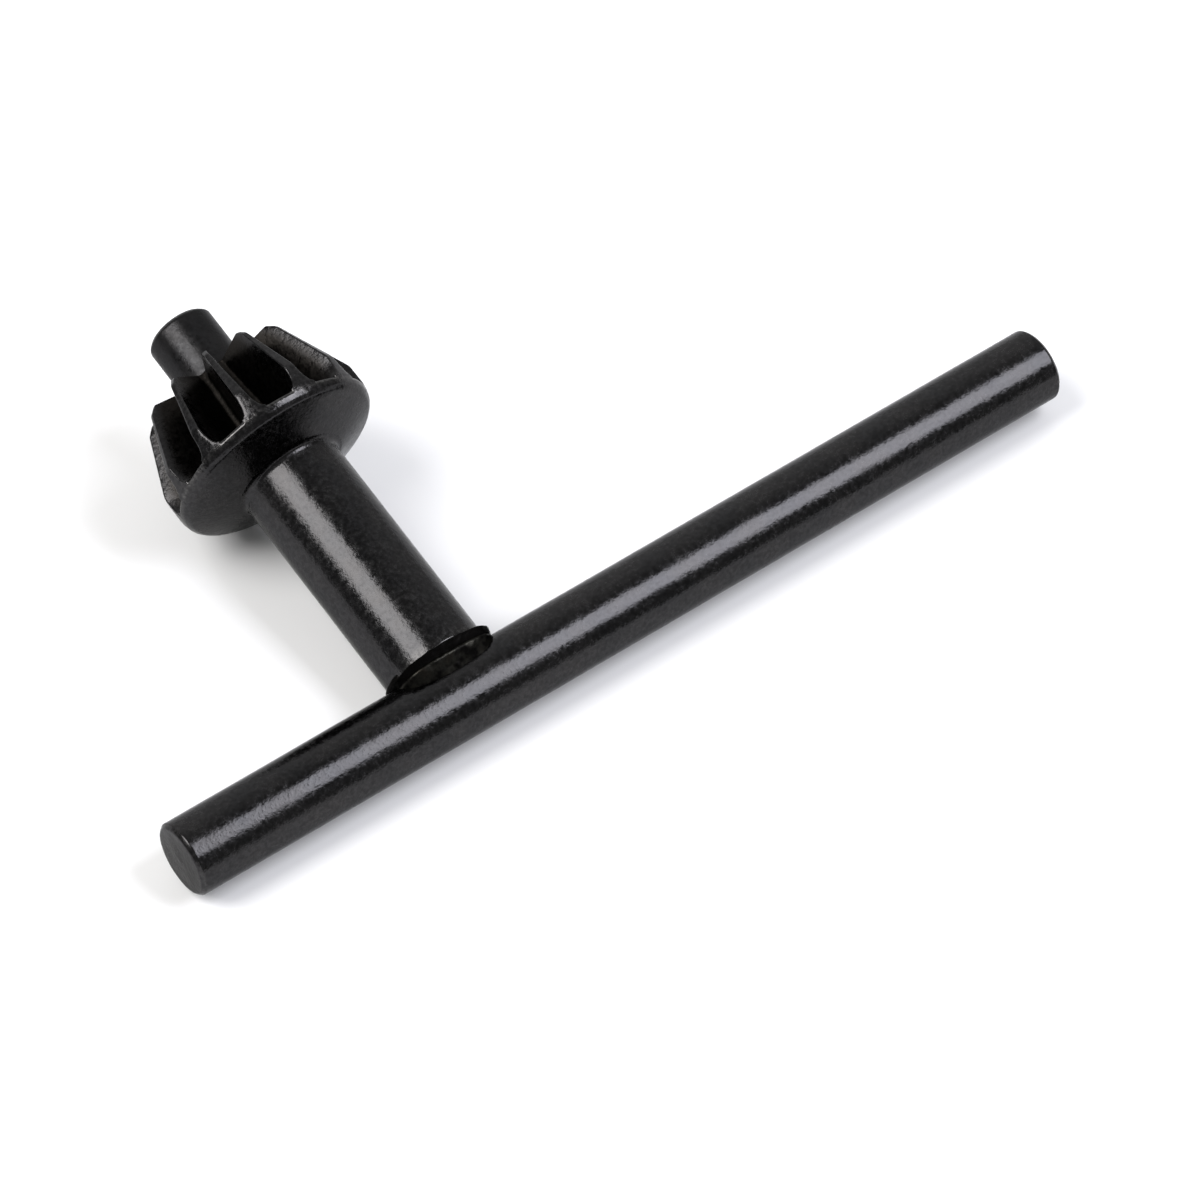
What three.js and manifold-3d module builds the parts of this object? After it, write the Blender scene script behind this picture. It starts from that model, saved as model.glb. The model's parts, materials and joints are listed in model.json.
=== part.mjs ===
// Chuck key for a geared drill chuck: a pilot and a bevel pinion on one turned shank, welded
// across to a round handle that sticks out further on one side. Millimetres, +Z up.
//
// The key is modelled in its own axes first: X runs along the handle towards the long arm, Y runs
// along the shank from the handle's centre line towards the pilot. The whole key is then leaned
// back as it rests on a bench at z = 0, on the pinion's rim and on the weld's corner, and moved
// so that the origin is under the middle of its box.
import * as THREE from 'three';
import { mergeVertices } from 'three/addons/utils/BufferGeometryUtils.js';
import Module from 'manifold-3d';

// Cross handle: a plain round bar with broken end edges.
const handleRadius = 3.25;
const shortArm = 27.5;
const longArm = 60.1;
const handleEndChamfer = 0.35;

// Shank, from the weld to the back of the pinion.
const shankRadius = 4.5;
const shankLength = 21.1;
const shankFilletRadius = 0.6;

// Pinion blank: a shallow cone behind, a rim band, a plain tooth band, the tooth cone and a nose.
const backConeLength = 1.45;
const rimBackRadius = 8.9;
const rimWidth = 1.15;
const rimRadius = 9.4;
const toothBandLength = 2.1;
const toothConeLength = 5.3;
const toothConeFrontRadius = 7.3;
const noseLength = 0.65;
const noseRadius = 6.6;

// Teeth: equal V grooves cut along a sloping root line that runs out in an arc at the rim.
const toothCount = 12;
const firstToothAngle = -17;
const grooveRootWidth = 0.6;
const grooveFlankAngle = 20;
const grooveRootRise = 13;
const grooveClearOfPilot = 0.15;
const grooveRunOutRadius = 2.0;

// Pilot: the plain pin that turns in the chuck's hole.
const pilotRadius = 3.0;
const pilotLength = 5.8;
const pilotChamfer = 0.4;

// Weld: the upset metal between the shank's end and the handle. Its lips wrap down over the
// handle in front and behind, and it is squeezed out further to the two sides, along the handle.
const weldProud = 0.05;
const weldSideProud = 0.65;
const weldShankStep = 0.75;
const weldCornerDrop = 0.3;
const weldBendInset = 0.35;
const weldBendDrop = 0.65;
const weldLipProud = 0.05;
const weldLipDrop = 0.9;

// Space left between two pieces that the weld joins, so that each stays its own solid.
const pieceGap = 0.3;

// Faces round a full turn, in multiples of four so that a vertex lies on each axis.
const turnedSegments = 72;
const handleSegments = 64;
const filletSteps = 4;
const runOutSteps = 5;

// How far a cutter reaches past the surface it opens, and how close two vertices count as one.
const cutterReach = 1;
const vertexTolerance = 1e-5;

// Lengths and stations along the key, worked out from the sizes above.
const weldCorner = handleRadius - weldCornerDrop;
const weldBend = weldCorner - weldBendDrop;
const weldTop = handleRadius + pieceGap + weldShankStep;
const shankStart = weldTop + pieceGap;
const backConeStart = handleRadius + shankLength;
const rimStart = backConeStart + backConeLength;
const rimEnd = rimStart + rimWidth;
const toothConeStart = rimEnd + toothBandLength;
const toothConeEnd = toothConeStart + toothConeLength;
const noseEnd = toothConeEnd + noseLength;
const pilotEnd = noseEnd + pilotLength;

const wasm = await Module();
wasm.setup();

const blackOxide = { color: 0x2b2a2d, roughness: 0.42, metalness: 0.9 };
const weldScale = { color: 0x1d1b1a, roughness: 0.75, metalness: 0.6 };

/** A closed three.js geometry as a solid that can be cut and joined. */
function toSolid(geometry) {
  const bare = geometry.clone();
  bare.deleteAttribute('normal');
  bare.deleteAttribute('uv');
  const merged = mergeVertices(bare, vertexTolerance);
  const corners = merged.index.array;
  const triangles = [];
  for (let i = 0; i < corners.length; i += 3) {
    const [a, b, c] = corners.slice(i, i + 3);
    if (a !== b && b !== c && c !== a) {
      triangles.push(a, b, c);
    }
  }
  const mesh = new wasm.Mesh({
    numProp: 3,
    vertProperties: new Float32Array(merged.attributes.position.array),
    triVerts: new Uint32Array(triangles),
  });
  return new wasm.Manifold(mesh);
}

/** A cut or joined solid back as a three.js geometry. */
function toGeometry(solid) {
  const mesh = solid.getMesh();
  const geometry = new THREE.BufferGeometry();
  geometry.setAttribute('position', new THREE.BufferAttribute(mesh.vertProperties, 3));
  geometry.setIndex(new THREE.BufferAttribute(mesh.triVerts, 1));
  geometry.computeVertexNormals();
  return geometry;
}

/** A named mesh with its own material. */
function piece(name, geometry, finish) {
  const mesh = new THREE.Mesh(geometry, new THREE.MeshStandardMaterial(finish));
  mesh.name = name;
  return mesh;
}

/** A solid of revolution about Y from [radius, station] corners. */
function turned(corners, segments) {
  const profile = corners.map(([radius, station]) => new THREE.Vector2(radius, station));
  return new THREE.LatheGeometry(profile, segments);
}

/** A cylinder along X between two stations, with its end edges broken by a chamfer. */
function barAlongX(radius, from, to, chamfer) {
  const corners = [
    [0, from],
    [radius - chamfer, from],
    [radius, from + chamfer],
    [radius, to - chamfer],
    [radius - chamfer, to],
    [0, to],
  ];
  return turned(corners, handleSegments).rotateZ(-Math.PI / 2);
}

/** The concave corner between the shank and the pinion's back, as [radius, station] points. */
function shankFillet() {
  const points = [];
  for (let step = 0; step <= filletSteps; step += 1) {
    const angle = (step / filletSteps) * (Math.PI / 2);
    const radius = shankRadius + shankFilletRadius * (1 - Math.cos(angle));
    const station = backConeStart - shankFilletRadius * (1 - Math.sin(angle));
    points.push([radius, station]);
  }
  return points;
}

/** The groove's root line as [station, height over the key's axis], from the nose to the rim. */
function grooveRootLine() {
  const rise = THREE.MathUtils.degToRad(grooveRootRise);
  const noseHeight = pilotRadius + grooveClearOfPilot;
  const runOutStation = rimEnd + grooveRunOutRadius * (1 - Math.sin(rise));
  const runOutHeight = noseHeight + (noseEnd - runOutStation) * Math.tan(rise);
  const centreHeight = runOutHeight + grooveRunOutRadius * Math.cos(rise);
  const line = [
    [noseEnd + cutterReach, noseHeight],
    [noseEnd, noseHeight],
  ];
  for (let step = 0; step <= runOutSteps; step += 1) {
    const angle = rise + (step / runOutSteps) * (Math.PI / 2 - rise);
    const station = rimEnd + grooveRunOutRadius * (1 - Math.sin(angle));
    line.push([station, centreHeight - grooveRunOutRadius * Math.cos(angle)]);
  }
  return line;
}

/** The cutter for one groove, standing over the key's axis on the +Z side: a convex V body. */
function grooveCutter() {
  const top = rimRadius + cutterReach;
  const spread = Math.tan(THREE.MathUtils.degToRad(grooveFlankAngle));
  const corners = grooveRootLine().flatMap(([station, height]) => {
    const rootHalf = grooveRootWidth / 2;
    const topHalf = rootHalf + (top - height) * spread;
    return [
      [-rootHalf, station, height],
      [rootHalf, station, height],
      [-topHalf, station, top],
      [topHalf, station, top],
    ];
  });
  return wasm.Manifold.hull(corners);
}

/** Pilot, pinion and shank: one turned piece with its tooth grooves cut. */
function keyBody() {
  const blank = turned(
    [
      [0, shankStart],
      [shankRadius, shankStart],
      ...shankFillet(),
      [rimBackRadius, rimStart],
      [rimRadius, rimEnd],
      [rimRadius, toothConeStart],
      [toothConeFrontRadius, toothConeEnd],
      [noseRadius, noseEnd],
      [pilotRadius, noseEnd],
      [pilotRadius, pilotEnd - pilotChamfer],
      [pilotRadius - pilotChamfer, pilotEnd],
      [0, pilotEnd],
    ],
    turnedSegments,
  );
  let body = toSolid(blank);
  const cutter = grooveCutter();
  for (let groove = 0; groove < toothCount; groove += 1) {
    const angle = firstToothAngle + ((groove + 0.5) * 360) / toothCount;
    body = body.subtract(cutter.rotate([0, angle, 0]));
  }
  return piece('key_body', toGeometry(body), blackOxide);
}

/** The handle's bar. */
function crossHandle() {
  return piece('cross_handle', barAlongX(handleRadius, -shortArm, longArm, handleEndChamfer), blackOxide);
}

/** Upset weld metal: a disc at the shank's end whose lips wrap down over the handle. */
function weldCollar() {
  const lipEnd = weldBend - weldLipDrop;
  const disc = turned(
    [
      [0, lipEnd],
      [handleRadius + weldLipProud, lipEnd],
      [shankRadius - weldBendInset, weldBend],
      [shankRadius + weldProud, weldCorner],
      [shankRadius + weldProud, handleRadius + pieceGap],
      [shankRadius, weldTop],
      [0, weldTop],
    ],
    turnedSegments,
  );
  const sideReach = shankRadius + weldSideProud;
  disc.scale(sideReach / (shankRadius + weldProud), 1, 1);
  const saddleEnd = sideReach + cutterReach;
  const saddle = barAlongX(handleRadius + pieceGap, -saddleEnd, saddleEnd, handleEndChamfer);
  return piece('weld_collar', toGeometry(toSolid(disc).subtract(toSolid(saddle))), weldScale);
}

/** The lean at which the rim's widest edge rests on the bench with the handle or the weld. */
function restLean() {
  const reach = Math.hypot(rimRadius, rimEnd);
  const onHandle = Math.acos(handleRadius / reach) - Math.atan2(rimEnd, rimRadius);
  const onWeld = Math.atan2(rimRadius - shankRadius - weldProud, rimEnd - weldCorner);
  return Math.min(onHandle, onWeld);
}

const key = new THREE.Group();
key.add(crossHandle());
key.add(keyBody());
key.add(weldCollar());

const lean = restLean();
const height = rimRadius * Math.cos(lean) - rimEnd * Math.sin(lean);
const tipRadius = pilotRadius - pilotChamfer;
const furthestPilot = pilotEnd * Math.cos(lean) + tipRadius * Math.sin(lean);
key.rotation.x = lean;
key.position.set((shortArm - longArm) / 2, (handleRadius - furthestPilot) / 2, height);

const chuckKey = new THREE.Group();
chuckKey.add(key);

export default chuckKey;
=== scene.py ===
"""Chuck key for a geared drill chuck, finished in black oxide, lying on a pale bench.

The key is made in its own axes, in millimetres: X runs along the cross handle towards the long
arm, Y runs along the shank from the handle's centre line towards the pilot, and Z is square to
both. `KeyAxes` finds from the frame where those axes lie on the bench and how far they lean.
"""

import json
import logging
import math
from dataclasses import dataclass, field
from enum import Enum

import bmesh
import bpy
import numpy as np
from mathutils import Matrix, Vector, noise


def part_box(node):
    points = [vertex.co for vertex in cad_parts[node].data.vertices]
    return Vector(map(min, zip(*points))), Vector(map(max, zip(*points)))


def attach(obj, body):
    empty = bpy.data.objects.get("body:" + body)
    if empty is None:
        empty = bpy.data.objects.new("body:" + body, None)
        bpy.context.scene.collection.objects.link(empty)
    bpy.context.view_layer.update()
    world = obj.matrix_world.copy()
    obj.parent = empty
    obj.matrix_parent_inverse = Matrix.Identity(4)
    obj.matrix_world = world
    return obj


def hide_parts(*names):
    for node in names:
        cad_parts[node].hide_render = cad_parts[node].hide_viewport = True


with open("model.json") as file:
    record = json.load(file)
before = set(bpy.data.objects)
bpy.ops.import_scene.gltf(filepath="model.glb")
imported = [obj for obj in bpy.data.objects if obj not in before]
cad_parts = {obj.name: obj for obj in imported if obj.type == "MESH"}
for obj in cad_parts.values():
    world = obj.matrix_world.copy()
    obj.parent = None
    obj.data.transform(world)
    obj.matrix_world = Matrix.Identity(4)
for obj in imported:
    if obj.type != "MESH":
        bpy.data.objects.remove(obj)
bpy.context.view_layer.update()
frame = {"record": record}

LOG = logging.getLogger("chuck_key")
MM = 0.001
BODY = "root"
# A point at more than this share of the blank's radius lies on a tooth's land.
LAND_SHARE = 0.999


class Slot(str, Enum):
    """The record's material slots, one for each piece of the key."""

    KEY = "black_oxide_key"
    HANDLE = "black_oxide_handle"
    WELD = "weld_scale"


class Mark(str, Enum):
    """Named values stored on the vertices, which the finishes read."""

    # Lightens edges to bare metal: edge wear, and a painted highlight along the rim band and the shank's end
    # edge.
    WEAR_AND_SHEEN = "worn_edge_and_sheen"
    CUT = "cut_face"
    # Darkens the finish: oil in the grooves, and painted shade in recesses and under the shank's overhang.
    SOIL_AND_SHADE = "soil_and_shade_share"
    DULL = "dulled"


# --- Where the key lies ---


@dataclass(frozen=True)
class KeyAxes:
    """Place and lean of the key's own axes on the bench, all taken from the frame."""

    origin: Vector
    lean: float
    handle_radius: float
    short_arm: float
    long_arm: float
    pilot_end: float

    @classmethod
    def from_frame(cls) -> "KeyAxes":
        """Reads the handle's box and the pilot's mount.

        Returns:
            The axes, with lengths in millimetres and the lean in radians.
        """
        low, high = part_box("cross_handle")
        middle = (low + high) / 2
        mounts = {mount["name"]: mount for mount in frame["record"]["mounts"]}
        tip = Vector(mounts["pilot_tip"]["pos_m"])
        axis = Vector(mounts["pilot_tip"]["axis"]).normalized()
        reach = (tip.y - middle.y) / axis.y
        origin = Vector((tip.x, middle.y, middle.z))
        return cls(
            origin=origin,
            lean=math.atan2(axis.z, axis.y),
            handle_radius=(high.z - low.z) / 2 / MM,
            short_arm=(origin.x - low.x) / MM,
            long_arm=(high.x - origin.x) / MM,
            pilot_end=reach / MM,
        )

    def matrix(self) -> Matrix:
        """The move from key millimetres to bench metres."""
        lean = Matrix.Rotation(self.lean, 4, "X")
        return Matrix.Translation(self.origin) @ lean @ Matrix.Scale(MM, 4)


# --- Mesh helpers ---


@dataclass(frozen=True)
class Corner:
    """One corner of a turned profile: radius, station along the axis and rounding, in mm."""

    radius: float
    station: float
    rounding: float = 0.0


def bend(start: np.ndarray, corner: np.ndarray, end: np.ndarray, steps: int) -> list[np.ndarray]:
    """The points of a curve that rounds a corner, both ends included."""
    shares = np.linspace(0, 1, steps + 1)
    return [(1 - t) ** 2 * start + 2 * t * (1 - t) * corner + t**2 * end for t in shares]


def rounded_profile(corners: list[Corner], step: float, arc_steps: int = 4) -> np.ndarray:
    """Walks a turned profile, rounding its corners and dividing its straight runs.

    Args:
        corners: The profile's corners in order.
        step: The longest straight piece, in mm.
        arc_steps: How many pieces each rounded corner gets.

    Returns:
        An array of [radius, station] points, in order.
    """
    places = [np.array([corner.radius, corner.station]) for corner in corners]
    marks = [places[0]]
    for before, here, after, corner in zip(places, places[1:], places[2:], corners[1:]):
        if corner.rounding <= 0:
            marks.append(here)
            continue
        start = here + corner.rounding * (before - here) / np.linalg.norm(before - here)
        end = here + corner.rounding * (after - here) / np.linalg.norm(after - here)
        marks += bend(start, here, end, arc_steps)
    marks.append(places[-1])
    points = [marks[0]]
    for start, end in zip(marks, marks[1:]):
        pieces = max(1, math.ceil(np.linalg.norm(end - start) / step))
        points += [start + (end - start) * k / pieces for k in range(1, pieces + 1)]
    return np.array(points)


@dataclass
class Sheet:
    """Rows of points that become one skin, with values for the finish at each point."""

    rows: list[np.ndarray] = field(default_factory=list)
    marks: dict[Mark, list[np.ndarray]] = field(default_factory=lambda: {mark: [] for mark in Mark})

    def add(self, row: np.ndarray, wear_and_sheen: float | np.ndarray = 0.0, cut: float = 0.0,
            soil_and_shade: float | np.ndarray = 0.0, dull: float = 0.0) -> None:
        """Adds one row of [x, y, z] points.

        Args:
            row: The points, in mm.
            wear_and_sheen: How worn the finish is, with painted highlight on some edges, from 0 to 1, for
                the row or for each point.
            cut: 1 on a sawn or faced end, 0 elsewhere.
            soil_and_shade: How far the finish is darkened by soil and by painted shade, from 0 to 1, for the
                row or for each point.
            dull: How smooth and dull the finish is, from 0 to 1.
        """
        self.rows.append(np.asarray(row, float))
        for mark, value in zip(Mark, (wear_and_sheen, cut, soil_and_shade, dull)):
            self.marks[mark].append(np.broadcast_to(np.asarray(value, float), len(row)).copy())

    def mesh(self, name: str, closed: bool, start: np.ndarray, end: np.ndarray) -> bpy.types.Mesh:
        """Skins the rows.

        Args:
            name: The mesh's name.
            closed: Whether each row's last point joins its first.
            start: The point that closes the first row.
            end: The point that closes the last row.

        Returns:
            The mesh, in mm, with its marks stored on the vertices.
        """
        count = len(self.rows[0])
        points = np.vstack([start[None], *self.rows, end[None]])
        last = len(points) - 1
        spans = count if closed else count - 1
        faces = []
        for k in range(spans):
            after = (k + 1) % count
            faces.append((0, 1 + after, 1 + k))
            for row in range(len(self.rows) - 1):
                a = 1 + row * count
                b = a + count
                faces.append((a + k, a + after, b + after, b + k))
            b = 1 + (len(self.rows) - 1) * count
            faces.append((b + k, b + after, last))
        mesh = bpy.data.meshes.new(name)
        mesh.from_pydata(points.tolist(), [], faces)
        for mark, rows in self.marks.items():
            values = np.concatenate([[rows[0].mean()], *rows, [rows[-1].mean()]])
            layer = mesh.attributes.new(mark.value, "FLOAT", "POINT")
            layer.data.foreach_set("value", values.astype(np.float32))
        return mesh


def face_outwards(mesh: bpy.types.Mesh) -> None:
    """Turns a closed mesh's faces outwards."""
    work = bmesh.new()
    work.from_mesh(mesh)
    bmesh.ops.recalc_face_normals(work, faces=work.faces)
    if work.calc_volume(signed=True) < 0:
        bmesh.ops.reverse_faces(work, faces=work.faces)
    work.to_mesh(mesh)
    work.free()


def to_bench(mesh: bpy.types.Mesh, axes: KeyAxes, crease: float) -> None:
    """Finishes a mesh made in the key's axes.

    Args:
        mesh: The mesh, in mm, changed in place to bench metres.
        axes: Where the key lies.
        crease: The angle in degrees past which an edge is shaded sharp.
    """
    mesh.transform(axes.matrix())
    face_outwards(mesh)
    mesh.shade_smooth()
    mesh.set_sharp_from_angle(angle=math.radians(crease))


def link_piece(name: str, mesh: bpy.types.Mesh, slot: Slot, *nodes: str) -> bpy.types.Object:
    """Puts a finished mesh in the scene as a piece of the key.

    Args:
        name: The piece's name.
        mesh: Its mesh, in bench metres.
        slot: The record's slot that stands for its finish. Not used.
        nodes: The CAD nodes that it stands for.

    Returns:
        The piece.
    """
    piece = bpy.data.objects.new(name, mesh)
    bpy.context.scene.collection.objects.link(piece)
    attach(piece, BODY)
    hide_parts(*nodes)
    LOG.info("%s: %d faces, stands for %s", name, len(mesh.polygons), ", ".join(nodes))
    return piece


# --- Finishes ---


class Bench:
    """A short hand for laying out a shader's nodes and joining them."""

    def __init__(self, name: str) -> None:
        """Starts a material that holds only a Principled BSDF and its output."""
        self.material = bpy.data.materials.new(name)
        self.material.use_nodes = True
        self.tree = self.material.node_tree
        self.tree.nodes.clear()
        self.shader = self.node("ShaderNodeBsdfPrincipled")
        output = self.node("ShaderNodeOutputMaterial")
        self.join(self.shader.outputs["BSDF"], output.inputs["Surface"])

    def node(self, kind: str, **settings: object) -> bpy.types.Node:
        """Adds a node and sets its properties."""
        made = self.tree.nodes.new(kind)
        for key, value in settings.items():
            setattr(made, key, value)
        return made

    def join(self, source: bpy.types.NodeSocket, target: bpy.types.NodeSocket) -> None:
        """Links two sockets."""
        self.tree.links.new(source, target)

    def pattern(self, axes: KeyAxes, pitch: float | tuple[float, float, float], detail: float,
                rough: float) -> bpy.types.NodeSocket:
        """A noise that follows the key's axes.

        Args:
            axes: Where the key lies.
            pitch: The pattern's pitch in mm, the same or different along X, Y and Z.
            detail: How many finer layers the noise has.
            rough: How strong the finer layers are.

        Returns:
            The socket that carries the noise's value.
        """
        pitches = pitch if isinstance(pitch, tuple) else (pitch,) * 3
        place = self.node("ShaderNodeTexCoord")
        turn = self.node("ShaderNodeMapping", vector_type="TEXTURE")
        turn.inputs["Location"].default_value = axes.origin
        turn.inputs["Rotation"].default_value = (axes.lean, 0, 0)
        stretch = self.node("ShaderNodeVectorMath", operation="MULTIPLY")
        stretch.inputs[1].default_value = [1 / (each * MM) for each in pitches]
        made = self.node("ShaderNodeTexNoise", noise_dimensions="3D")
        made.inputs["Scale"].default_value = 1.0
        made.inputs["Detail"].default_value = detail
        made.inputs["Roughness"].default_value = rough
        self.join(place.outputs["Object"], turn.inputs["Vector"])
        self.join(turn.outputs["Vector"], stretch.inputs[0])
        self.join(stretch.outputs["Vector"], made.inputs["Vector"])
        return made.outputs["Fac"]

    def metal(self, grazing: float) -> None:
        """Makes the surface metal, with the given share of its edge gloss left."""
        self.shader.inputs["Metallic"].default_value = 1.0
        self.shader.inputs["Specular Tint"].default_value = (grazing, grazing, grazing, 1.0)

    def spread(self, value: bpy.types.NodeSocket, source: tuple, target: tuple) -> bpy.types.NodeSocket:
        """Maps a range of values to another, clamped."""
        made = self.node("ShaderNodeMapRange")
        for socket, number in zip(("From Min", "From Max", "To Min", "To Max"), (*source, *target)):
            made.inputs[socket].default_value = number
        self.join(value, made.inputs["Value"])
        return made.outputs["Result"]

    def math(self, operation: str, a: object, b: object) -> bpy.types.NodeSocket:
        """A math node on two sockets or numbers."""
        made = self.node("ShaderNodeMath", operation=operation)
        for socket, value in zip(made.inputs, (a, b)):
            if isinstance(value, bpy.types.NodeSocket):
                self.join(value, socket)
            else:
                socket.default_value = value
        return made.outputs["Value"]

    def blend(self, share: bpy.types.NodeSocket, first: bpy.types.NodeSocket,
              second: float) -> bpy.types.NodeSocket:
        """A value that goes from a socket's to a number as the share goes from 0 to 1."""
        made = self.node("ShaderNodeMix", data_type="FLOAT")
        self.join(share, made.inputs[0])
        self.join(first, made.inputs[2])
        made.inputs[3].default_value = second
        return made.outputs[0]

    def mix(self, share: bpy.types.NodeSocket, first: object, second: object) -> bpy.types.NodeSocket:
        """A mix of two colours, given as sockets or as linear colours."""
        made = self.node("ShaderNodeMix", data_type="RGBA")
        self.join(share, made.inputs["Factor"])
        for name, value in (("A", first), ("B", second)):
            sockets = [s for s in made.inputs if s.name == name and s.type == "RGBA"]
            if isinstance(value, bpy.types.NodeSocket):
                self.join(value, sockets[0])
            else:
                sockets[0].default_value = (*value, 1.0)
        return next(s for s in made.outputs if s.type == "RGBA")

    def shade(self, colour: bpy.types.NodeSocket, factor: bpy.types.NodeSocket) -> bpy.types.NodeSocket:
        """A colour multiplied by a value."""
        made = self.node("ShaderNodeVectorMath", operation="SCALE")
        self.join(colour, made.inputs[0])
        self.join(factor, made.inputs["Scale"])
        return made.outputs["Vector"]

    def mark(self, mark: Mark) -> bpy.types.NodeSocket:
        """A value stored on the vertices."""
        made = self.node("ShaderNodeAttribute", attribute_type="GEOMETRY", attribute_name=mark.value)
        return made.outputs["Fac"]

    def bump(self, height: bpy.types.NodeSocket, depth: float, under: object = None) -> bpy.types.NodeSocket:
        """A bump of the given depth in mm, laid over another normal if there is one."""
        made = self.node("ShaderNodeBump")
        made.inputs["Strength"].default_value = 1.0
        made.inputs["Distance"].default_value = depth * MM
        self.join(height, made.inputs["Height"])
        if under is not None:
            self.join(under, made.inputs["Normal"])
        return made.outputs["Normal"]


@dataclass(frozen=True)
class OxideFinish:
    """Black oxide on machined steel. Pitches and depths are in mm, colours are linear."""

    name: str
    deep: tuple[float, float, float] = (0.0290, 0.0288, 0.0298)
    bloom: tuple[float, float, float] = (0.0345, 0.0335, 0.0340)
    # Bare metal for worn edges, also used as a painted highlight on the rim band and the shank's end edge.
    bare_and_sheen: tuple[float, float, float] = (0.16, 0.155, 0.15)
    # Dark brown for soiled places: oil in the grooves, and painted shade in the recesses and on the shank's
    # end at the weld.
    soil_and_shade: tuple[float, float, float] = (0.0105, 0.0085, 0.0062)
    bloom_pitch: float = 2.6
    roughness: float = 0.21
    roughness_swing: float = 0.10
    soil_and_shade_roughness: float = 0.40
    grain_pitch: float = 0.38
    grain_depth: float = 0.024
    grain_tone: tuple[float, float] = (0.80, 1.20)
    dull_tone: float = 0.72
    dull_roughness: float = 0.14
    grazing: float = 0.66
    swell_pitch: tuple[float, float, float] = (1.6, 1.6, 1.6)
    swell_depth: float = 0.022
    line_pitch: tuple[float, float, float] = (0.10, 6.0, 0.10)
    line_depth: float = 0.0012
    cut_pitch: tuple[float, float, float] = (1.0, 0.16, 0.9)
    cut_depth: float = 0.006

    def build(self, axes: KeyAxes) -> bpy.types.Material:
        """Lays out the finish.

        Args:
            axes: Where the key lies, so that the lines follow it.

        Returns:
            The material.
        """
        bench = Bench(self.name)
        bench.metal(self.grazing)
        shader = bench.shader
        patch = bench.pattern(axes, self.bloom_pitch, 3, 0.6)
        grain = bench.pattern(axes, self.grain_pitch, 2.5, 0.65)
        lines = bench.pattern(axes, self.line_pitch, 3, 0.6)
        cuts = bench.pattern(axes, self.cut_pitch, 3, 0.55)
        swell = bench.pattern(axes, self.swell_pitch, 1, 0.5)

        # Worn edges, and the painted highlight on the rim and the shank's end edge, break up where the grain
        # is high.
        wear_and_sheen = bench.math("MULTIPLY", bench.mark(Mark.WEAR_AND_SHEEN), bench.spread(grain, (0.40, 0.60), (0.35, 1)))
        soil_and_shade_share = bench.mark(Mark.SOIL_AND_SHADE)
        colour = bench.mix(bench.spread(patch, (0.35, 0.65), (0, 1)), self.deep, self.bloom)
        # Painted shade with some soil: the marked recesses take the dark brown colour.
        colour = bench.mix(soil_and_shade_share, colour, self.soil_and_shade)
        colour = bench.mix(wear_and_sheen, colour, self.bare_and_sheen)
        tone = bench.spread(grain, (0.36, 0.64), self.grain_tone)
        tone = bench.blend(bench.mark(Mark.DULL), tone, self.dull_tone)
        bench.join(bench.shade(colour, tone), shader.inputs["Base Color"])

        low = self.roughness - self.roughness_swing
        high = self.roughness + self.roughness_swing
        smear = bench.math("ADD", bench.math("MULTIPLY", patch, 0.3), bench.math("MULTIPLY", grain, 0.7))
        smear = bench.spread(smear, (0.35, 0.65), (low, high))
        extra = bench.math("MULTIPLY", soil_and_shade_share, self.soil_and_shade_roughness - self.roughness)
        matt = bench.math("MULTIPLY", bench.mark(Mark.DULL), self.dull_roughness)
        bench.join(bench.math("ADD", bench.math("ADD", smear, extra), matt), shader.inputs["Roughness"])

        normal = bench.bump(bench.math("MULTIPLY", cuts, bench.mark(Mark.CUT)), self.cut_depth)
        normal = bench.bump(swell, self.swell_depth, normal)
        normal = bench.bump(lines, self.line_depth, normal)
        normal = bench.bump(grain, self.grain_depth, normal)
        bench.join(normal, shader.inputs["Normal"])
        return bench.material


@dataclass(frozen=True)
class ScaleFinish:
    """Burnt, oxidised weld metal: olive and brown patches, matt and lumpy. Its soot colour also paints shade
    into the undercut under the shank's end.
    """

    name: str
    soot_and_shade: tuple[float, float, float] = (0.0055, 0.0052, 0.0050)
    olive: tuple[float, float, float] = (0.0185, 0.0180, 0.0155)
    rust: tuple[float, float, float] = (0.0210, 0.0175, 0.0145)
    patch_pitch: float = 1.3
    grain_pitch: float = 0.22
    grain_depth: float = 0.006
    roughness: float = 0.34
    roughness_swing: float = 0.08
    grazing: float = 0.55

    def build(self, axes: KeyAxes) -> bpy.types.Material:
        """Lays out the finish.

        Args:
            axes: Where the key lies.

        Returns:
            The material.
        """
        bench = Bench(self.name)
        bench.metal(self.grazing)
        shader = bench.shader
        patch = bench.pattern(axes, self.patch_pitch, 3, 0.6)
        grain = bench.pattern(axes, self.grain_pitch, 4, 0.7)
        colour = bench.mix(bench.spread(patch, (0.38, 0.52), (0, 1)), self.soot_and_shade, self.olive)
        colour = bench.mix(bench.spread(patch, (0.56, 0.72), (0, 0.8)), colour, self.rust)
        # Painted shade: the marked undercut takes the soot colour.
        colour = bench.mix(bench.mark(Mark.SOIL_AND_SHADE), colour, self.soot_and_shade)
        bench.join(colour, shader.inputs["Base Color"])
        low = self.roughness - self.roughness_swing
        high = self.roughness + self.roughness_swing
        bench.join(bench.spread(grain, (0.3, 0.7), (low, high)), shader.inputs["Roughness"])
        bench.join(bench.bump(grain, self.grain_depth), shader.inputs["Normal"])
        return bench.material


# --- Geometry Nodes ---


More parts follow.
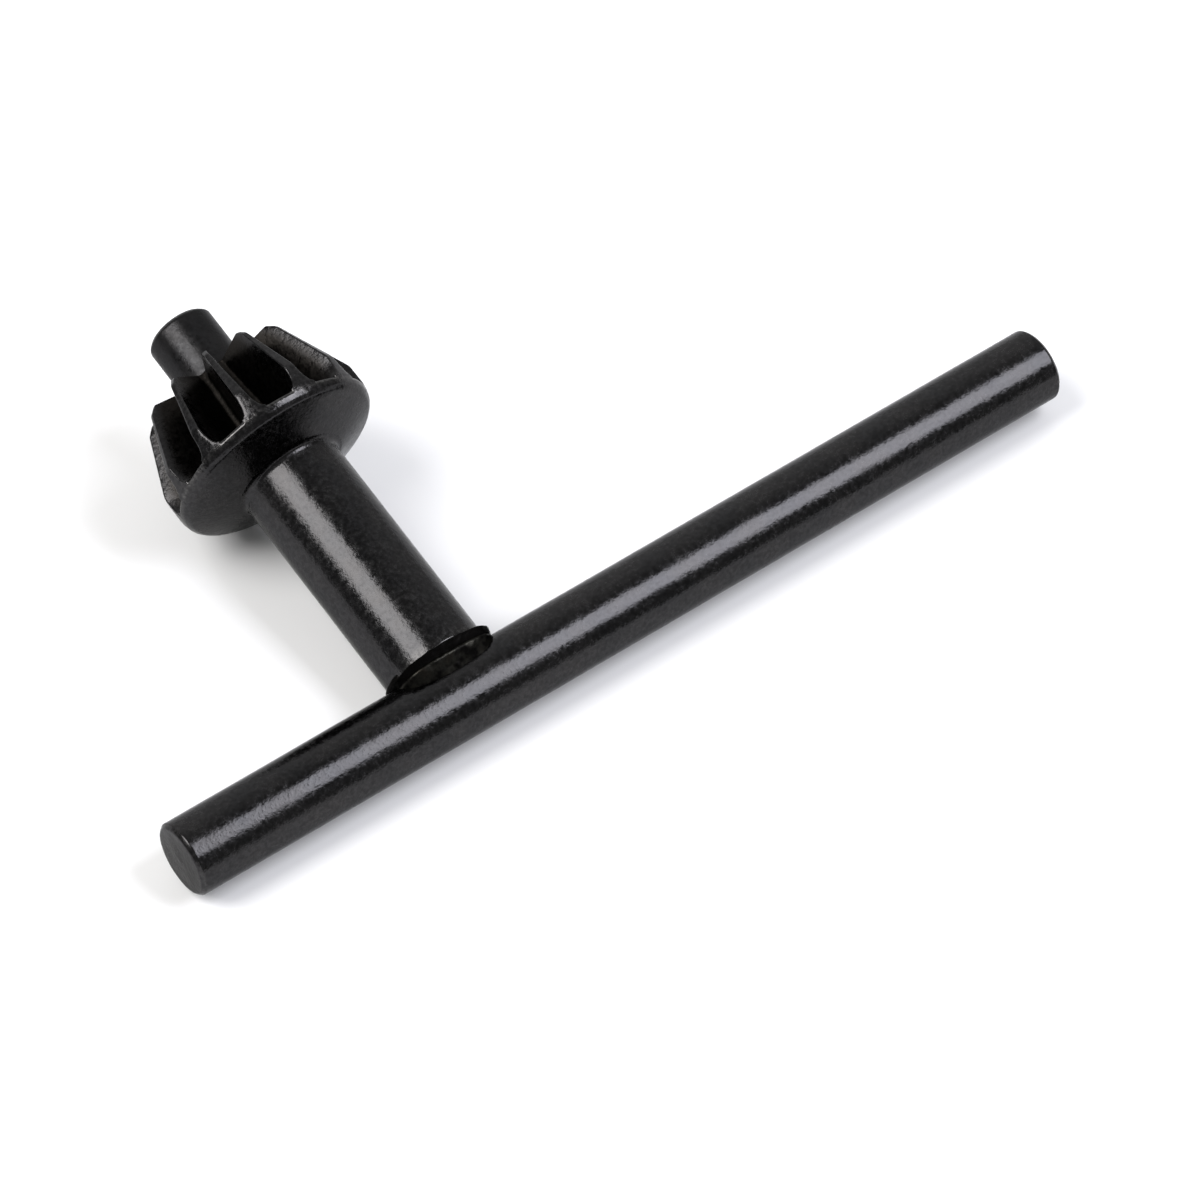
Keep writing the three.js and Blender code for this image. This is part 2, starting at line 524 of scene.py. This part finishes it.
class RingRepeat:
    """A Geometry Nodes tree that repeats one tooth's sector about the key's axis."""

    COUNT = "Teeth"
    MERGE = "Merge distance"
    FINISH = "Finish"

    def __init__(self) -> None:
        """Builds the tree."""
        self.tree = bpy.data.node_groups.new("ring_repeat", "GeometryNodeTree")
        sockets = self.tree.interface
        sockets.new_socket("Geometry", in_out="INPUT", socket_type="NodeSocketGeometry")
        count = sockets.new_socket(self.COUNT, in_out="INPUT", socket_type="NodeSocketInt")
        merge = sockets.new_socket(self.MERGE, in_out="INPUT", socket_type="NodeSocketFloat")
        finish = sockets.new_socket(self.FINISH, in_out="INPUT", socket_type="NodeSocketMaterial")
        sockets.new_socket("Geometry", in_out="OUTPUT", socket_type="NodeSocketGeometry")
        self.identifiers = {
            self.COUNT: count.identifier,
            self.MERGE: merge.identifier,
            self.FINISH: finish.identifier,
        }
        self.lay_out()

    def lay_out(self) -> None:
        """Adds the nodes: points, instances turned by their number, merge, material."""
        nodes = self.tree.nodes
        start = nodes.new("NodeGroupInput")
        points = nodes.new("GeometryNodePoints")
        number = nodes.new("GeometryNodeInputIndex")
        turn = nodes.new("ShaderNodeMath")
        turn.operation = "DIVIDE"
        turn.inputs[0].default_value = 2 * math.pi
        angle = nodes.new("ShaderNodeMath")
        angle.operation = "MULTIPLY"
        about = nodes.new("ShaderNodeCombineXYZ")
        copies = nodes.new("GeometryNodeInstanceOnPoints")
        real = nodes.new("GeometryNodeRealizeInstances")
        merged = nodes.new("GeometryNodeMergeByDistance")
        finish = nodes.new("GeometryNodeSetMaterial")
        end = nodes.new("NodeGroupOutput")
        for source, target in (
            (start.outputs[self.COUNT], points.inputs["Count"]),
            (start.outputs[self.COUNT], turn.inputs[1]),
            (number.outputs["Index"], angle.inputs[0]),
            (turn.outputs[0], angle.inputs[1]),
            (angle.outputs[0], about.inputs["Y"]),
            (points.outputs[0], copies.inputs["Points"]),
            (start.outputs["Geometry"], copies.inputs["Instance"]),
            (about.outputs[0], copies.inputs["Rotation"]),
            (copies.outputs[0], real.inputs[0]),
            (real.outputs[0], merged.inputs["Geometry"]),
            (start.outputs[self.MERGE], merged.inputs["Distance"]),
            (merged.outputs[0], finish.inputs["Geometry"]),
            (start.outputs[self.FINISH], finish.inputs["Material"]),
            (finish.outputs[0], end.inputs[0]),
        ):
            self.tree.links.new(source, target)

    def apply(self, sector: bpy.types.Mesh, count: int, merge: float,
              material: bpy.types.Material) -> bpy.types.Mesh:
        """Repeats a sector into one plain mesh.

        Args:
            sector: The mesh of one sector.
            count: How many sectors there are in a full turn.
            merge: The distance below which seam vertices are one, in the mesh's units.
            material: The finish.

        Returns:
            The whole ring as a plain mesh.
        """
        helper = bpy.data.objects.new("sector_helper", sector)
        bpy.context.scene.collection.objects.link(helper)
        modifier = helper.modifiers.new("repeat", "NODES")
        modifier.node_group = self.tree
        modifier[self.identifiers[self.COUNT]] = count
        modifier[self.identifiers[self.MERGE]] = merge
        modifier[self.identifiers[self.FINISH]] = material
        graph = bpy.context.evaluated_depsgraph_get()
        mesh = bpy.data.meshes.new_from_object(helper.evaluated_get(graph))
        helper.modifiers.remove(modifier)
        bpy.data.objects.remove(helper)
        return mesh


# --- The key: pilot, pinion and shank ---


@dataclass
class KeyBody:
    """Pilot, bevel pinion and shank, turned as one and cut with twelve blind grooves. In mm."""

    axes: KeyAxes
    teeth: int = 12
    first_tooth: float = -17.0
    pilot_radius: float = 3.0
    pilot_length: float = 5.8
    pilot_chamfer: float = 0.42
    nose_radius: float = 6.6
    nose_length: float = 0.65
    cone_front_radius: float = 7.3
    cone_length: float = 5.3
    band_length: float = 2.1
    rim_radius: float = 9.4
    rim_width: float = 1.15
    rim_back_radius: float = 8.9
    back_cone_length: float = 1.45
    shank_radius: float = 4.5
    shank_fillet: float = 0.6
    root_width: float = 0.6
    flank_angle: float = 20.0
    root_rise: float = 13.0
    root_clear_of_pilot: float = 0.15
    run_out_radius: float = 2.0
    crest_rounding: float = 0.13
    root_rounding: float = 0.24
    run_out_lean: float = 0.08
    edge_rounding: float = 0.34
    seam: float = 0.0015
    crease: float = 32.0

    def __post_init__(self) -> None:
        """Works out the stations along the axis from the pilot's end backwards."""
        self.nose_end = self.axes.pilot_end - self.pilot_length
        self.cone_end = self.nose_end - self.nose_length
        self.cone_start = self.cone_end - self.cone_length
        self.rim_end = self.cone_start - self.band_length
        self.rim_start = self.rim_end - self.rim_width
        self.back_start = self.rim_start - self.back_cone_length
        self.shank_start = self.axes.handle_radius
        self.pitch = 2 * math.pi / self.teeth
        rise = math.radians(self.root_rise)
        self.run_out_start = self.rim_end + self.run_out_radius * (1 - math.sin(rise))
        nose_root = self.pilot_radius + self.root_clear_of_pilot
        run_out_root = nose_root + (self.nose_end - self.run_out_start) * math.tan(rise)
        self.run_out_top = run_out_root + self.run_out_radius * math.cos(rise)

    def root_height(self, station: float) -> float:
        """How far the groove's root lies from the axis at a station forward of the run-out."""
        rise = math.tan(math.radians(self.root_rise))
        return self.pilot_radius + self.root_clear_of_pilot + (self.nose_end - station) * rise

    def blank(self) -> np.ndarray:
        """The pinion's turned outline from the nose back to the rim's back, front first."""
        corners = [
            Corner(self.nose_radius - 0.4, self.nose_end),
            Corner(self.nose_radius, self.nose_end, 0.10),
            Corner(self.cone_front_radius, self.cone_end, 0.18),
            Corner(self.rim_radius, self.cone_start, 0.30),
            Corner(self.rim_radius, self.rim_end, 0.10),
            Corner(self.rim_radius - 0.06, self.rim_end - 0.40, 0.10),
            Corner(self.rim_radius - 0.18, self.rim_start + 0.35, 0.12),
            Corner(self.rim_back_radius, self.rim_start, 0.15),
            Corner(self.shank_radius + self.shank_fillet, self.back_start),
        ]
        return rounded_profile(corners, 0.25)

    def half_section(self, radius: float, root: float) -> np.ndarray:
        """Half of one sector's outline across the axis: root, flank and land.

        Args:
            radius: The blank's radius there.
            root: The root's distance from the axis.

        Returns:
            [x, z] points from the groove's middle to the land's middle.
        """
        slope = math.tan(math.radians(self.flank_angle))
        half_root = self.root_width / 2
        reach = radius * math.hypot(1, slope)
        crest = math.atan(slope) + math.asin((half_root - slope * root) / reach)
        foot = np.array([half_root, root])
        head = np.array([radius * math.sin(crest), radius * math.cos(crest)])
        along = (head - foot) / np.linalg.norm(head - foot)
        root_cut = min(self.root_rounding, 0.9 * half_root)
        crest_cut = min(self.crest_rounding, 0.4 * radius * (self.pitch / 2 - crest))
        land = crest + crest_cut / radius

        points = [np.array([0.0, root])]
        points += bend(np.array([half_root - root_cut, root]), foot, foot + root_cut * along, 3)
        flank_start = points[-1]
        flank_end = head - crest_cut * along
        points += [flank_start + (flank_end - flank_start) * k / 4 for k in (1, 2, 3)]
        land_point = np.array([radius * math.sin(land), radius * math.cos(land)])
        points += bend(flank_end, head, land_point, 3)
        for share in (1 / 3, 2 / 3, 1.0):
            angle = land + (self.pitch / 2 - land) * share
            points.append(np.array([radius * math.sin(angle), radius * math.cos(angle)]))
        return np.array(points)

    def plain_half(self, radius: float, angles: np.ndarray) -> np.ndarray:
        """Half of one sector's outline where it is round, at the given angles."""
        return np.stack([radius * np.sin(angles), radius * np.cos(angles)], 1)

    @staticmethod
    def both_halves(half: np.ndarray, station: float | np.ndarray) -> np.ndarray:
        """A whole sector's row of [x, y, z] from its half, at one station or one for each point."""
        stations = np.broadcast_to(station, len(half))
        right = np.stack([half[:, 0], stations, half[:, 1]], 1)
        left = right[:0:-1] * [-1, 1, 1]
        return np.vstack([left, right])

    def sector(self) -> bpy.types.Mesh:
        """One groove's sector of the whole key, from the pilot's tip to the shank's end.

        Returns:
            The sector's mesh, in mm, open at its two sides.
        """
        sheet = Sheet()
        columns = len(self.half_section(self.rim_radius, self.run_out_top))
        even = np.linspace(0, self.pitch / 2, columns)
        self.add_pilot(sheet, even)
        self.add_nose(sheet, even)
        self.add_teeth(sheet)
        top = self.add_run_out(sheet)
        self.add_back(sheet, top, even)
        start = np.array([0, self.axes.pilot_end, 0])
        end = np.array([0, self.shank_start, 0])
        return sheet.mesh("key_sector", False, start, end)

    def add_pilot(self, sheet: Sheet, even: np.ndarray) -> None:
        """Adds the pilot, from near its tip's middle to its foot on the nose."""
        tip = self.pilot_radius - self.pilot_chamfer
        corners = [
            Corner(0.25, self.axes.pilot_end),
            Corner(tip, self.axes.pilot_end, 0.16),
            Corner(self.pilot_radius, self.axes.pilot_end - self.pilot_chamfer, 0.16),
            Corner(self.pilot_radius, self.nose_end, 0.08),
            Corner(self.pilot_radius + 0.1, self.nose_end),
        ]
        for radius, station in rounded_profile(corners, 0.45):
            faced = station > self.axes.pilot_end - 0.02
            edge = 0.12 if abs(radius - tip) < 0.25 and station > self.axes.pilot_end - 0.5 else 0.0
            row = self.both_halves(self.plain_half(radius, even), station)
            sheet.add(row, wear_and_sheen=edge, cut=float(faced), dull=0.0 if faced else 1.0)

    def add_nose(self, sheet: Sheet, even: np.ndarray) -> None:
        """Adds the nose's flat face, from the pilot's foot to the grooves' and lands' edges."""
        inner = self.plain_half(self.pilot_radius + 0.1, even)
        outer = self.half_section(self.nose_radius - 0.03, self.root_height(self.nose_end))
        middle = self.plain_half(1.0, np.array([self.pitch / 2]))[0] * self.nose_radius * 0.8
        inward = middle - outer
        inward /= np.linalg.norm(inward, axis=1)[:, None]
        span = np.linalg.norm(outer - inner, axis=1)[:, None]
        edge = outer + inward * np.minimum(0.05, 0.4 * span)
        for share in (0.3, 0.6, 1.0):
            row = self.both_halves(inner + (edge - inner) * share, self.nose_end)
            # The nose face is darkened halfway towards the dark brown soil colour.
            sheet.add(row, wear_and_sheen=0.1 if share == 1.0 else 0.0, soil_and_shade=0.5)

    def add_teeth(self, sheet: Sheet) -> None:
        """Adds the lands, flanks and roots from the nose to where the grooves run out."""
        outline = self.blank()
        forward = outline[(outline[:, 1] < self.nose_end - 1e-6) & (outline[:, 1] > self.run_out_start)]
        for radius, station in forward:
            half = self.half_section(radius, self.root_height(station))
            self.add_cut_row(sheet, half, station, radius)

    def add_cut_row(self, sheet: Sheet, half: np.ndarray, station: float, radius: float,
                    wear_and_sheen: float = 0.0) -> None:
        """Adds one row across a tooth's land and its groove.

        Args:
            sheet: The sheet to add to.
            half: The half row as [x, z].
            station: Its place along the axis.
            radius: The blank's radius there.
            wear_and_sheen: The least wear and painted highlight in the row. The crests' edges have more.
        """
        reach = np.linalg.norm(half, axis=1) / radius
        wear = np.where(reach > LAND_SHARE, 0.01, 0.0)
        crest = int(np.argmax(reach > LAND_SHARE))
        wear[crest - 1:crest + 1] = 0.07
        wear = np.maximum(wear, wear_and_sheen)
        # Darker and browner towards each groove's root: oil in the groove, and painted shade in the recess.
        soil_and_shade = np.clip((0.97 - reach) / 0.12, 0, 1) * 0.75
        mirrored = [np.concatenate([value[:0:-1], value]) for value in (wear, soil_and_shade)]
        sheet.add(self.both_halves(half, station), wear_and_sheen=mirrored[0], soil_and_shade=mirrored[1])

    def radius_at(self, station: float) -> float:
        """The blank's radius at a station between the nose and the back."""
        outline = self.blank()[::-1]
        return float(np.interp(station, outline[:, 1], outline[:, 0]))

    def add_run_out(self, sheet: Sheet) -> np.ndarray:
        """Adds the grooves' curved ends up to the rim's surface.

        Returns:
            The half row at the top of the run-out, as [x, z].
        """
        rise = math.radians(self.root_rise)
        for angle in np.linspace(rise, math.pi / 2, 11)[1:]:
            station = self.rim_end + self.run_out_radius * (1 - math.sin(angle))
            root = self.run_out_top - self.run_out_radius * math.cos(angle)
            station += self.run_out_lean * (math.pi / 2 - angle) / (math.pi / 2)
            radius = self.radius_at(station)
            foot = self.half_section(radius, root)
            self.add_cut_row(sheet, foot, station, radius)
        wall = self.rim_end - self.run_out_lean
        for share in (0.35, 0.7, 1.0):
            half = self.rise_to(foot, wall, self.edge_rounding, share)
            station = self.rim_end - self.run_out_lean * share
            self.add_cut_row(sheet, half, station, self.radius_at(wall))
        for turn in np.linspace(0, math.pi / 2, 6)[1:]:
            station = wall - self.edge_rounding * (1 - math.cos(turn))
            half = self.rise_to(foot, station, self.edge_rounding * (1 - math.sin(turn)), 1.0)
            # Painted highlight with some wear: bare-metal colour grows over the grooves' rounded top edges,
            # where the rim's reflected streak runs.
            self.add_cut_row(sheet, half, station, self.radius_at(station), 0.30 * math.sin(turn))
        return half

    def rise_to(self, foot: np.ndarray, station: float, below: float, share: float) -> np.ndarray:
        """Lifts the groove's points from the run-out's foot towards the rim's surface.

        Args:
            foot: The half row at the run-out's foot, as [x, z].
            station: Where the rim's radius is taken.
            below: How far under the surface the lift ends.
            share: How much of the lift is done, from 0 to 1.

        Returns:
            The lifted half row. Points that are already higher stay where they are.
        """
        radius = self.radius_at(station)
        surface = np.sqrt(np.maximum(radius**2 - foot[:, 0] ** 2, 0))
        land = np.linalg.norm(foot, axis=1) > LAND_SHARE * self.radius_at(self.rim_end)
        target = np.where(land, surface, np.minimum(surface, np.maximum(foot[:, 1], surface - below)))
        height = np.where(land, surface, foot[:, 1] + (target - foot[:, 1]) * share)
        return np.stack([foot[:, 0], height], 1)

    def add_back(self, sheet: Sheet, top: np.ndarray, even: np.ndarray) -> None:
        """Adds the rim, the back cone, the shank and its end.

        Args:
            sheet: The sheet to add to.
            top: The half row at the top of the run-out.
            even: The evenly spread angles that the shank's rows have.
        """
        crowded = np.arctan2(top[:, 0], top[:, 1])
        rim_top = self.rim_end - self.run_out_lean - self.edge_rounding
        corners = [
            Corner(self.radius_at(rim_top), rim_top),
            *(Corner(r, y) for r, y in self.blank() if y < rim_top - 0.02),
        ]
        back = rounded_profile(corners, 0.4)[1:]
        shank = rounded_profile(
            [
                Corner(self.shank_radius + self.shank_fillet + 0.6, self.back_start + 0.23),
                Corner(self.shank_radius + self.shank_fillet, self.back_start, 0.12),
                Corner(self.shank_radius, self.back_start, 0.55),
                Corner(self.shank_radius, self.shank_start, 0.10),
                Corner(0.3, self.shank_start),
            ],
            0.8,
        )
        shank = shank[shank[:, 1] < self.back_start + 0.2]
        rows = np.vstack([back[back[:, 1] > shank[0, 1] + 0.05], shank])
        fade = self.rim_start - self.back_start
        for radius, station in rows:
            share = np.clip((self.rim_start + 0.5 - station) / fade, 0, 1)
            angles = crowded + (even - crowded) * share
            # Painted highlight with some wear: the rim band just behind the grooves' ends, and the shank's
            # end edge, get bare-metal colour where reflected streaks run.
            rim = math.exp(-(((station - self.rim_end + 0.25) / 0.30) ** 2))
            foot = math.exp(-(((station - self.shank_start - 0.05) / 0.12) ** 2))
            at_edge = foot if radius > self.shank_radius - 0.3 else 0.0
            # Painted shade: the shank's end face, where it meets the weld, takes most of the dark brown soil
            # colour.
            under = 0.9 if radius < self.shank_radius - 0.3 else 0.0
            row = self.both_halves(self.plain_half(radius, angles), station)
            sheet.add(row, wear_and_sheen=0.32 * rim + 0.2 * at_edge, soil_and_shade=under)

    def build(self, ring: RingRepeat) -> bpy.types.Object:
        """Makes the piece.

        Args:
            ring: The tree that repeats the sector.

        Returns:
            The finished piece.
        """
        finish = OxideFinish("black_oxide_turned").build(self.axes)
        mesh = ring.apply(self.sector(), self.teeth, self.seam, finish)
        mesh.name = "key_body_turned"
        mesh.transform(Matrix.Rotation(math.radians(self.first_tooth) + self.pitch / 2, 4, "Y"))
        to_bench(mesh, self.axes, self.crease)
        return link_piece("key_body_turned", mesh, Slot.KEY, "key_body")


# --- The cross handle ---


@dataclass
class CrossHandle:
    """A drawn round bar, cropped and roughly broken at its ends. In mm."""

    axes: KeyAxes
    around: int = 144
    end_dome: float = 0.05
    end_bevel: float = 0.30
    end_rounding: float = 0.12
    waviness: float = 0.012
    crease: float = 40.0

    def end_profile(self) -> np.ndarray:
        """One end's [radius, distance from the end] points, from the middle out to the side."""
        radius = self.axes.handle_radius
        corners = [
            Corner(0.25, 0.0),
            Corner(0.62 * radius, 0.04, 0.4),
            Corner(radius - self.end_bevel, self.end_dome, 0.10),
            Corner(radius, self.end_dome + self.end_bevel, self.end_rounding),
            Corner(radius, self.end_dome + 2.2 * self.end_bevel),
        ]
        return rounded_profile(corners, 0.22)

    def build(self) -> bpy.types.Object:
        """Makes the piece.

        Returns:
            The finished piece.
        """
        end = self.end_profile()
        left = -self.axes.short_arm
        right = self.axes.long_arm
        stretch = np.linspace(left + end[-1, 1], right - end[-1, 1], 110)[1:-1]
        sheet = Sheet()
        for radius, inset in end:
            self.add_ring(sheet, radius, left + inset, inset)
        for station in stretch:
            self.add_ring(sheet, self.axes.handle_radius, station, self.axes.handle_radius)
        for radius, inset in end[::-1]:
            self.add_ring(sheet, radius, right - inset, inset)
        mesh = sheet.mesh("cross_handle_bar", True, np.array([left, 0, 0]), np.array([right, 0, 0]))
        mesh.materials.append(OxideFinish(
            "black_oxide_drawn",
            line_pitch=(5.0, 0.12, 0.12),
            swell_pitch=(4.0, 1.5, 1.5),
            bloom_pitch=3.4,
        ).build(self.axes))
        to_bench(mesh, self.axes, self.crease)
        return link_piece("cross_handle_bar", mesh, Slot.HANDLE, "cross_handle")

    def add_ring(self, sheet: Sheet, radius: float, station: float, inset: float) -> None:
        """Adds one ring of the bar, slightly out of true.

        Args:
            sheet: The sheet to add to.
            radius: The ring's radius.
            station: Its place along X.
            inset: How far it is from the bar's end.
        """
        angles = np.linspace(0, 2 * math.pi, self.around, endpoint=False)
        ring = []
        for angle in angles:
            side = Vector((station * 0.16, math.sin(angle) * 1.1, math.cos(angle) * 1.1))
            grow = -self.waviness * (0.5 + 0.5 * noise.noise(side))
            shift = 0.0
            if inset < self.end_dome + self.end_bevel:
                spot = Vector((math.sin(angle), math.cos(angle), 0)) * radius * 0.75
                shift = 0.04 * (0.5 + 0.5 * noise.noise(spot + Vector((0, 0, station))))
            x = station + math.copysign(shift, -station)
            r = radius + grow * radius / self.axes.handle_radius
            ring.append((x, r * math.sin(angle), r * math.cos(angle)))
        edge = abs(inset - self.end_dome - 0.6 * self.end_bevel)
        wear_and_sheen = 0.10 * math.exp(-((edge / 0.18) ** 2))
        faced = 1.0 if inset < self.end_dome + self.end_bevel else 0.0
        sheet.add(np.array(ring), wear_and_sheen=wear_and_sheen, cut=faced)


# --- The weld ---


@dataclass
class WeldNeck:
    """The upset weld between the shank's flat end and the round handle. In mm.

    In front and behind it flares from the handle's surface to the shank's edge, with a ridge
    half way, and it is squeezed out to both sides in a bead of flash that curls up beside the
    shank.
    """

    axes: KeyAxes
    around: int = 192
    stations: tuple[float, ...] = (0.7, 1.2, 2.30, 2.42, 2.52, 2.62, 3.22)
    front: tuple[float, ...] = (2.60, 3.00, 3.88, 3.95, 3.93, 3.86, 4.36)
    side: tuple[float, ...] = (4.50, 4.65, 4.76, 4.80, 4.79, 4.74, 4.80)
    squareness: float = 3.0
    inside: float = 4.15
    hidden_head: float = 4.3
    flash_height: float = 0.75
    flash_reach: tuple[float, float] = (5.05, 5.20)
    flash_spread: float = 27.0
    lumps: float = 0.12
    crease: float = 50.0

    def outline(self, side: float, front: float, angles: np.ndarray) -> np.ndarray:
        """A squarish oval's radius at each angle from +Z towards +X."""
        power = self.squareness
        across = np.abs(np.sin(angles) / side) ** power
        along = np.abs(np.cos(angles) / front) ** power
        return (across + along) ** (-1 / power)

    def radius(self, station: float, angles: np.ndarray) -> np.ndarray:
        """The weld's radius all round at one station."""
        head = self.axes.handle_radius
        at = min(station, head)
        front = np.interp(at, self.stations, self.front)
        side = np.interp(at, self.stations, self.side)
        core = self.outline(side, front, angles)
        if station > head:
            core = np.minimum(core, self.inside)
        turned = np.degrees(np.arccos(np.clip(np.abs(np.sin(angles)), 0, 1)))
        near_side = np.exp(-((turned / self.flash_spread) ** 2))
        reach = np.where(np.sin(angles) < 0, *self.flash_reach)
        height = (station - head + 0.35) / (self.flash_height + 0.35)
        swell = math.sqrt(max(0.0, 1 - (2 * height - 1) ** 2)) if 0 < height < 1 else 0.0
        flash = core + (reach - core) * near_side * swell
        return np.maximum(core, flash)

    def build(self) -> bpy.types.Object:
        """Makes the piece.

        Returns:
            The finished piece.
        """
        angles = np.linspace(0, 2 * math.pi, self.around, endpoint=False)
        foot = self.stations[0]
        head = self.axes.handle_radius
        sheet = Sheet()
        rows = np.concatenate([
            np.linspace(foot, head - 0.02, 34),
            np.linspace(head + 0.02, self.hidden_head, 22),
        ])
        for station in rows:
            radius = self.radius(station, angles) + self.roughen(angles, station)
            points = [radius * np.sin(angles), np.full_like(angles, station), radius * np.cos(angles)]
            # Painted shade: from the ridge up to the shank's end the weld turns soot dark, where the shank's
            # overhang shades it.
            undercut = np.interp(station, self.stations[4:6], (0.0, 1.0))
            sheet.add(np.stack(points, 1), soil_and_shade=float(undercut))
        mesh = sheet.mesh(
            "weld_neck", True, np.array([0, foot, 0]), np.array([0, self.hidden_head, 0])
        )
        mesh.materials.append(ScaleFinish("weld_scale").build(self.axes))
        to_bench(mesh, self.axes, self.crease)
        return link_piece("weld_neck", mesh, Slot.WELD, "weld_collar")

    def roughen(self, angles: np.ndarray, station: float) -> np.ndarray:
        """Lumps on the weld's surface at one station, in mm."""
        heights = []
        for angle in angles:
            spot = Vector((math.sin(angle) * 4.6, station, math.cos(angle) * 4.6))
            coarse = noise.noise(spot * 0.9)
            fine = noise.noise(spot * 3.1)
            heights.append(self.lumps * (0.8 * coarse + 0.35 * fine))
        return np.array(heights)


# --- Studio ---


@dataclass(frozen=True)
class SoftBox:
    """A square-cornered soft light that faces the key. Angles in degrees, sizes in metres."""

    name: str
    azimuth: float
    elevation: float
    distance: float
    size: tuple[float, float]
    spin: float
    glow: float
    colour: tuple[float, float, float]

    def build(self, target: Vector) -> None:
        """Hangs the light round a point.

        Args:
            target: The point that it faces. Azimuth 0 is towards +Y and 90 towards +X.
        """
        a = math.radians(self.azimuth)
        e = math.radians(self.elevation)
        out = Vector((math.sin(a) * math.cos(e), math.cos(a) * math.cos(e), math.sin(e)))
        light = bpy.data.lights.new(self.name, "AREA")
        light.shape = "RECTANGLE"
        light.size, light.size_y = self.size
        light.energy = self.glow * math.pi * self.size[0] * self.size[1]
        light.color = self.colour
        lamp = bpy.data.objects.new(self.name, light)
        facing = out.to_track_quat("Z", "Y").to_matrix().to_4x4()
        facing @= Matrix.Rotation(math.radians(self.spin), 4, "Z")
        lamp.matrix_world = Matrix.Translation(target + out * self.distance) @ facing
        bpy.context.scene.collection.objects.link(lamp)


@dataclass(frozen=True)
class CameraPlan:
    """Where the camera stands. Angles in degrees, lengths in metres, the lens in mm."""

    azimuth: float = -37.584
    elevation: float = 51.580
    roll: float = 0.997
    distance: float = 0.48382
    aim: tuple[float, float, float] = (-0.003726, -0.020318, 0.008896)
    lens: float = 180.0
    sensor: float = 36.0

    def build(self) -> None:
        """Adds the camera and makes it the scene's own."""
        a = math.radians(self.azimuth)
        e = math.radians(self.elevation)
        back = Vector((math.sin(a) * math.cos(e), -math.cos(a) * math.cos(e), math.sin(e)))
        right = Vector((math.cos(a), math.sin(a), 0))
        up = back.cross(right)
        upright = Matrix((right, up, back)).transposed().to_4x4()
        turned = upright @ Matrix.Rotation(math.radians(self.roll), 4, "Z")
        data = bpy.data.cameras.new("camera")
        data.lens = self.lens
        data.sensor_width = self.sensor
        data.clip_start = 0.01
        camera = bpy.data.objects.new("camera", data)
        camera.matrix_world = Matrix.Translation(Vector(self.aim) + back * self.distance) @ turned
        bpy.context.scene.collection.objects.link(camera)
        bpy.context.scene.camera = camera


@dataclass(frozen=True)
class Studio:
    """The pale bench top, the soft lights and the room's dim walls."""

    target: Vector
    floor_half: float = 2.0
    floor_colour: tuple[float, float, float] = (0.84, 0.84, 0.84)
    room_dim: float = 0.38
    room_bright: float = 1.30
    bright_wall: tuple[float, float, float] = (0.45, 0.85, 0.15)

    def build(self) -> None:
        """Adds everything that isn't part of the key."""
        self.build_floor()
        self.build_room()
        boxes = (
            SoftBox(name="softbox_right", azimuth=133, elevation=52, distance=0.85,
                    size=(0.40, 0.54), spin=-43, glow=8.8, colour=(0.97, 0.98, 1.05)),
            SoftBox(name="softbox_left", azimuth=-69, elevation=52, distance=0.85,
                    size=(0.42, 0.58), spin=9, glow=8.9, colour=(1.0, 0.99, 0.98)),
        )
        for box in boxes:
            box.build(self.target)
        bpy.context.scene.view_settings.view_transform = "Standard"

    def build_floor(self) -> None:
        """Adds the pale floor that the key lies on."""
        half = self.floor_half
        mesh = bpy.data.meshes.new("floor")
        mesh.from_pydata([(-half, -half, 0), (half, -half, 0), (half, half, 0), (-half, half, 0)],
                         [], [(0, 1, 2, 3)])
        bench = Bench("pale_floor")
        bench.shader.inputs["Base Color"].default_value = (*self.floor_colour, 1.0)
        bench.shader.inputs["Roughness"].default_value = 0.9
        mesh.materials.append(bench.material)
        floor = bpy.data.objects.new("floor", mesh)
        bpy.context.scene.collection.objects.link(floor)

    def build_room(self) -> None:
        """Lights the room: dim all round, brighter towards one side."""
        world = bpy.data.worlds.new("room")
        bpy.context.scene.world = world
        world.use_nodes = True
        tree = world.node_tree
        tree.nodes.clear()
        place = tree.nodes.new("ShaderNodeTexCoord")
        facing = tree.nodes.new("ShaderNodeVectorMath")
        facing.operation = "DOT_PRODUCT"
        facing.inputs[1].default_value = Vector(self.bright_wall).normalized()
        ramp = tree.nodes.new("ShaderNodeMapRange")
        for name, number in (("From Min", 0.35), ("From Max", 1.0),
                             ("To Min", self.room_dim), ("To Max", self.room_bright)):
            ramp.inputs[name].default_value = number
        glow = tree.nodes.new("ShaderNodeBackground")
        output = tree.nodes.new("ShaderNodeOutputWorld")
        tree.links.new(place.outputs["Generated"], facing.inputs[0])
        tree.links.new(facing.outputs["Value"], ramp.inputs["Value"])
        tree.links.new(ramp.outputs["Result"], glow.inputs["Strength"])
        tree.links.new(glow.outputs["Background"], output.inputs["Surface"])


# --- Making it ---


def main() -> None:
    """Builds the studio and the key's pieces in order."""
    logging.basicConfig(level=logging.INFO, format="%(name)s: %(message)s")
    axes = KeyAxes.from_frame()
    CameraPlan().build()
    Studio(target=axes.origin).build()
    CrossHandle(axes).build()
    KeyBody(axes).build(RingRepeat())
    WeldNeck(axes).build()


if __name__ == "__main__":
    main()
